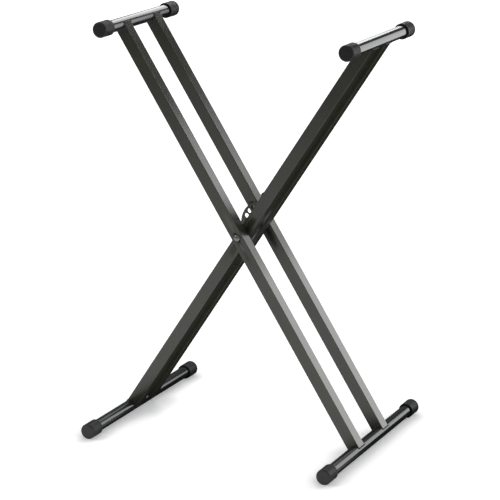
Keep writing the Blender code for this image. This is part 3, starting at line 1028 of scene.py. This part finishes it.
def plunger():
    """Housing, pin, knob and spring, on the line through the rear outer leg's pin hole."""
    across = Matrix.Translation((0, 0, HOLE_RING))
    start, back = ends("plunger_housing")
    step = start + HOUSING_FLANGE_LENGTH
    lid_front = back - HOUSING_LID
    bore = PIN_COLLAR_DIAMETER / 2 + FIT
    guide = PIN_DIAMETER / 2 + FIT
    stem = STEM_DIAMETER / 2
    barrel = HOUSING_DIAMETER / 2
    groove = lid_front - GROOVE_BEFORE_LID
    outline = [(HOUSING_FLANGE_DIAMETER / 2, start), (HOUSING_FLANGE_DIAMETER / 2, step),
               (barrel, step), (barrel, groove),
               (barrel - GROOVE_DEPTH, groove + GROOVE_DEPTH),
               (barrel - GROOVE_DEPTH, groove + GROOVE_WIDTH - GROOVE_DEPTH),
               (barrel, groove + GROOVE_WIDTH), (barrel, back), (stem + FIT, back),
               (stem + FIT, lid_front), (bore, lid_front), (bore, step), (guide, step),
               (guide, start)]
    housing = turned(rounded(outline, HOUSING_EDGE, 3), ring=True)
    piece("plunger_barrel", smooth_mesh("barrel", housing), "outer_frame", ZINC,
          ["plunger_housing"], across)

    nose, end = ends("locking_pin")
    pin = PIN_DIAMETER / 2
    collar = PIN_COLLAR_DIAMETER / 2
    collar_front = step + FIT + PIN_DROP
    collar_back = collar_front + PIN_COLLAR_LENGTH
    outline = [(0, nose), (pin - PIN_NOSE, nose), (pin, nose + PIN_NOSE), (pin, collar_front),
               (collar, collar_front), (collar, collar_back), (stem, collar_back),
               (stem, end), (0, end)]
    turned_pin = turned(rounded(outline, PIN_EDGE, 3), SMALL_SEGMENTS)
    piece("locking_pin_turned", smooth_mesh("pin", turned_pin), "plunger", DULL_ZINC,
          ["locking_pin"], across)

    piece("knob_moulding", knob_mesh(*ends("pull_knob")), "plunger", NYLON,
          ["pull_knob"], across)

    spring_start = collar_back + FIT + SPRING_WIRE / 2
    length = lid_front - FIT - SPRING_WIRE / 2 - spring_start
    coil = through_tree("coil", bpy.data.meshes.new("coil"), COIL_TREE, {
        "Turns": float(SPRING_TURNS), "Coil Radius": SPRING_DIAMETER / 2, "Length": length,
        "Wire Radius": SPRING_WIRE / 2, "Points Round": 12, "Start": spring_start,
        "Finish": ZINC})
    spring = piece("spring_coil", coil, "outer_frame", ZINC, ["plunger_spring"],
                   across)
    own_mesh(spring)


# Studio

FAR_BOXES = 1.87                # how far behind the stand the right boxes are
NEAR_BOXES = 1.27               # and the upper and middle ones
PICTURE_SIDE = 500              # in pixels, as are the next two
FOCAL_LENGTH = 2048.62
CENTRE_SHIFT = (-0.24, 1.06)
CAMERA_AZIMUTH = math.radians(26.767)
CAMERA_ELEVATION = math.radians(16.141)
CAMERA_ROLL = math.radians(0.2135)
CAMERA_DISTANCE = 4.18903
CAMERA_TARGET = Vector((-0.00697, 0, PIVOT.z - 0.04686))

# The floor: where each of its looks starts to change and where the change ends
FLOOR_SIZE = 8
SHADOW_REACH = 0.055            # how near the floor a piece has to be to shade it
SHADOW_SHARES = (0.72, 1.0)     # of what is open above the floor
WHITE_PAST = (0.7, 1.6)         # from the stand's middle
GLOW_BESIDE_BARS = (0.015, 0.07)        # from the line of the nearer floor bar, where the painted shadow of the bar ends
GLOW_BEFORE_BARS = (0.18, 0.26)         # before the stand's middle, as are the next two
GLOW_START = (-0.02, 0.12)
GLOW_END = (0.5, 4.6)


def soft_box(name, place, aim, width, height, radiance):
    """A soft box at a place, turned to a point, given by how bright it looks there."""
    lamp = bpy.data.lights.new(name, "AREA")
    lamp.shape = "RECTANGLE"
    lamp.size = width
    lamp.size_y = height
    lamp.energy = radiance * math.pi * width * height
    made = linked(name, lamp)
    made.location = place
    made.rotation_euler = (Vector(place) - Vector(aim)).to_track_quat("Z", "Y").to_euler()
    made.visible_camera = False


def back_box(name, x_range, z_range, y, radiance):
    """A soft box behind the stand, square to it, given by what it covers there."""
    x, z = sum(x_range) / 2, sum(z_range) / 2
    width, height = x_range[1] - x_range[0], z_range[1] - z_range[0]
    soft_box(name, (x, y, z), (x, 0, z), width, height, radiance)


def to_camera(start):
    """1 for rays that the camera sees by, straight or through glass."""
    seen = start.add("ShaderNodeLightPath", out="Is Camera Ray")
    through = start.add("ShaderNodeLightPath", out="Is Transmission Ray")
    return seen.math("MAXIMUM", seen, through)


def floor():
    """A pale floor.

    It is white to the camera except in the stand's shadow. In reflections it is bright in
    front of the stand, and dark behind it and beside its floor bars.
    """
    made = bpy.data.materials.new("pale_floor")
    start = emptied(made)
    shown = to_camera(start)
    place = start.add("ShaderNodeNewGeometry", out="Position")
    away = place.length().clipped(*WHITE_PAST)
    # Painted shadow: the floor's glow to the camera dims where pieces stand close over it, on top
    # of the real shadow from the lamps
    uncovered = start.add("ShaderNodeAmbientOcclusion", {"samples": 8},
                          {"Distance": SHADOW_REACH}, "AO").clipped(*SHADOW_SHARES)
    lit = 0.30 + uncovered * 0.32 + away * 0.38
    # Painted light: for rays other than the camera's the floor glows in front of the stand,
    # lighting it as a bright floor would; the glow is left out beside the floor bars and behind
    # the stand, a painted shadow there
    forward = 0.0 - place.component("Y")
    across = place.component("X")
    beside = across.math("ABSOLUTE", across.math("ABSOLUTE", across) - FOOT_REACH)
    clear_of_painted_bar_shadow = forward.math("MAXIMUM", beside.clipped(*GLOW_BESIDE_BARS),
                            forward.clipped(*GLOW_BEFORE_BARS))
    front = forward.clipped(*GLOW_START) * clear_of_painted_bar_shadow * (1.0 - forward.clipped(*GLOW_END))
    # Painted shade: for rays other than the camera's the floor is painted dark grey, so that the
    # stand's undersides stay in shade
    mirrored = start.add("ShaderNodeLightPath", out="Is Glossy Ray")
    unseen = mirrored.blend(shade(0.12, 0.12, 0.12), shade(0.045, 0.045, 0.044))
    paint = shown.blend(unseen, shade(0.90, 0.90, 0.90))
    matt = paint.add("ShaderNodeBsdfDiffuse", inputs={"Color": paint})
    glow = matt.add("ShaderNodeEmission", inputs={
        "Color": shown * lit + (1.0 - shown) * front, "Strength": 1.0})
    both = matt.add("ShaderNodeAddShader", inputs={0: matt, 1: glow})
    both.add("ShaderNodeOutputMaterial", inputs={"Surface": both})
    bm = bmesh.new()
    bmesh.ops.create_grid(bm, x_segments=1, y_segments=1, size=FLOOR_SIZE)
    mesh = mesh_from("floor", bm)
    mesh.materials.append(made)
    ground = linked("floor", mesh)


def world():
    """White behind the stand for the camera, else a grey room, dimmer behind the soft boxes."""
    made = bpy.data.worlds.new("studio")
    start = emptied(made)
    toward = start.add("ShaderNodeTexCoord", out="Generated")
    behind = toward.component("Y").clipped(0.0, 0.6)
    grey = behind.blend(shade(0.46, 0.465, 0.47), shade(0.14, 0.142, 0.145))
    room = to_camera(start).blend(grey, shade(1, 1, 1))
    sky = room.add("ShaderNodeBackground", inputs={"Color": room, "Strength": 1.0})
    sky.add("ShaderNodeOutputWorld", inputs={"Surface": sky})
    bpy.context.scene.world = made


def camera():
    """At the photograph's place: round to the right and a little above the stand."""
    back = Vector((math.sin(CAMERA_AZIMUTH) * math.cos(CAMERA_ELEVATION),
                   -math.cos(CAMERA_AZIMUTH) * math.cos(CAMERA_ELEVATION),
                   math.sin(CAMERA_ELEVATION)))
    data = bpy.data.cameras.new("camera")
    data.sensor_width = 36
    data.lens = FOCAL_LENGTH / PICTURE_SIDE * data.sensor_width
    data.shift_x = CENTRE_SHIFT[0] / PICTURE_SIDE
    data.shift_y = CENTRE_SHIFT[1] / PICTURE_SIDE
    data.clip_end = 50
    made = linked("camera", data)
    aim = back.to_track_quat("Z", "Y").to_matrix().to_4x4()
    made.matrix_world = (Matrix.Translation(CAMERA_TARGET + back * CAMERA_DISTANCE) @ aim
                         @ Matrix.Rotation(CAMERA_ROLL, 4, "Z"))
    bpy.context.scene.camera = made


camera()
world()
floor()
back_box("right_box_edge", (0.70, 0.88), (0.03, 1.45), FAR_BOXES, 2.1)
back_box("right_box", (0.88, 2.30), (0.03, 1.95), FAR_BOXES, 3.25)
back_box("upper_box", (-0.90, 0.15), (1.27, 2.00), NEAR_BOXES, 4.4)
back_box("upper_box_edge", (-0.90, -0.10), (1.09, 1.27), NEAR_BOXES, 1.7)
back_box("middle_box", (-0.45, 0.33), (0.86, 1.09), NEAR_BOXES, 1.1)
soft_box("front_box", (-1.40, -1.10, 1.37), PIVOT, 0.45, 0.45, 7.0)
bpy.context.scene.view_settings.view_transform = "Standard"

legs()
bars()
caps()
welds()
locking_plate()
pivot()
plunger()
